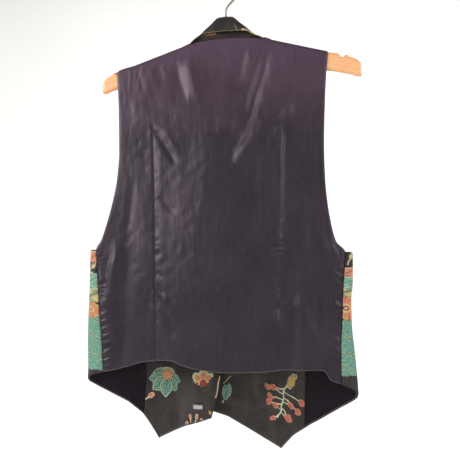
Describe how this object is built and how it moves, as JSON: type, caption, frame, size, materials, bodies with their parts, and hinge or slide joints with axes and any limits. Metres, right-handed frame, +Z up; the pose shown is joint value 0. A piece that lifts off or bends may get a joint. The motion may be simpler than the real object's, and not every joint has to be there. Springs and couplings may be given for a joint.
{
  "type": "waistcoat on hanger",
  "caption": "Sleeveless waistcoat with a darted satin back, brocade fronts with shawl lapels and pointed hems, hanging on a flat wooden hanger with a wire hook.",
  "frame": {"origin": "the underside of the hook's top, where it rests on a rail", "axes": "+Z up, +Y out of the garment's front, away from its satin back; -X towards the wearer's left. The picture shows the back, from -Y"},
  "size_m": [0.4713, 0.0706, 0.7908],
  "materials": {
    "satin": "soft satin sheen",
    "brocade": "woven floral brocade on a near-black ground",
    "wood": "varnished",
    "steel": "bright wire",
    "button": "polished dark",
    "label": "woven label"
  },
  "bodies": {
    "root": {"back": "satin", "button_1": "button", "button_2": "button", "button_3": "button", "button_4": "button", "collar": "brocade", "facing_left": "brocade", "facing_right": "brocade", "front_left": "brocade", "front_right": "brocade", "hanger_board": "wood", "hanger_hook": "steel", "lapel_left": "brocade", "lapel_right": "brocade", "lining_left": "satin", "lining_right": "satin", "size_label": "label"}
  },
  "joints": []
}
